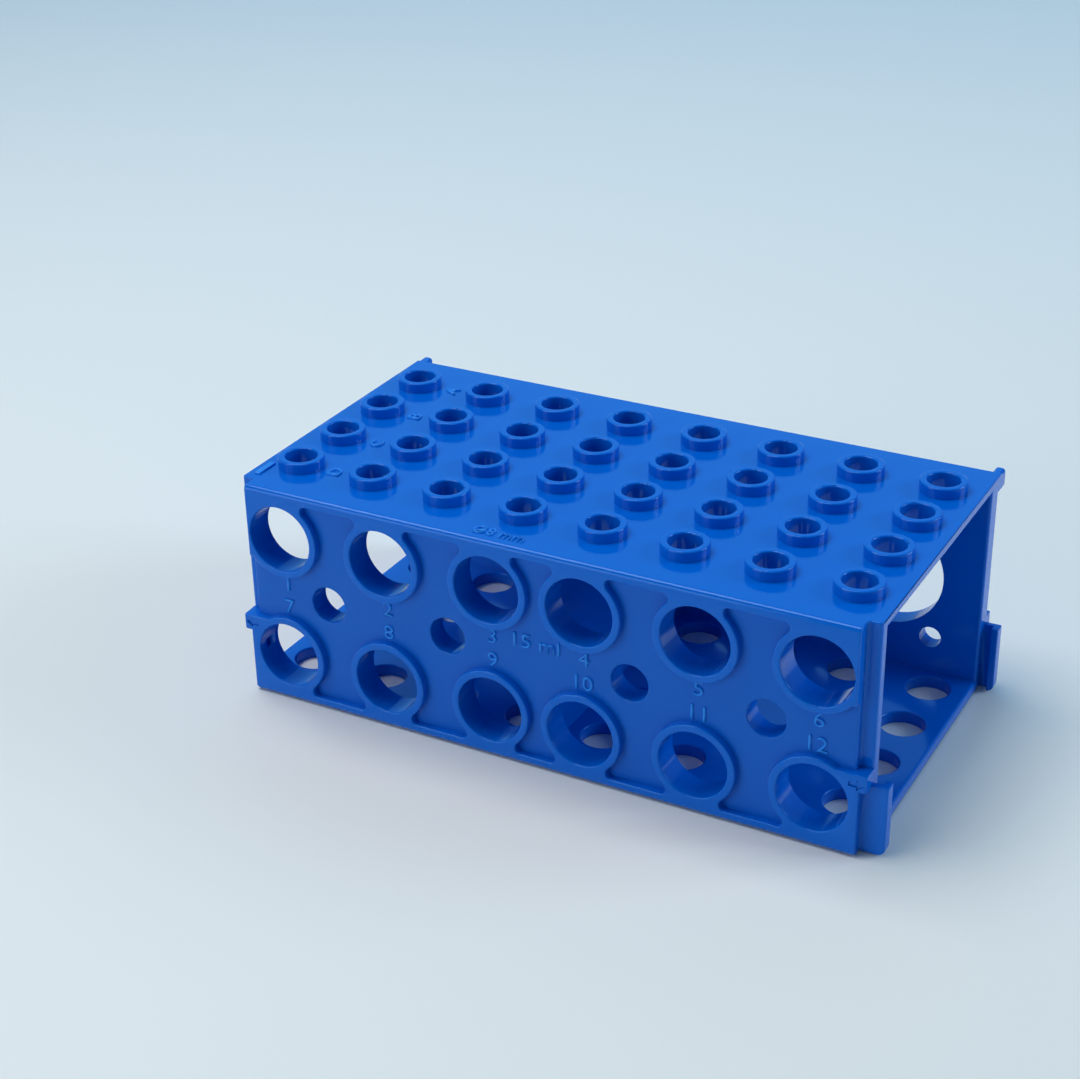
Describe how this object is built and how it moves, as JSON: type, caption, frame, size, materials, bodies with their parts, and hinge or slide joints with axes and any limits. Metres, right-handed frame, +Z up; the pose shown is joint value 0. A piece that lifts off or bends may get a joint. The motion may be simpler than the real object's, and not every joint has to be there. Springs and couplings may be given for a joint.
{
  "type": "multi-purpose tube rack",
  "caption": "One-piece plastic sleeve whose four long faces hold centrifuge tubes and microtubes of different sizes, with hooks that join racks end to end.",
  "frame": {"origin": "on the surface the rack stands on, under the middle of the sleeve", "axes": "+X along the sleeve towards the end with the hooks, +Y from the wall with twelve bores to the wall with four, +Z up through the faces with the small holes"},
  "size_m": [0.1789, 0.0955, 0.0644],
  "materials": {
    "blue_polypropylene": "injection-moulded polypropylene, glossy top face and satin fields"
  },
  "bodies": {
    "root": {"rack_body": "blue_polypropylene"}
  },
  "joints": []
}
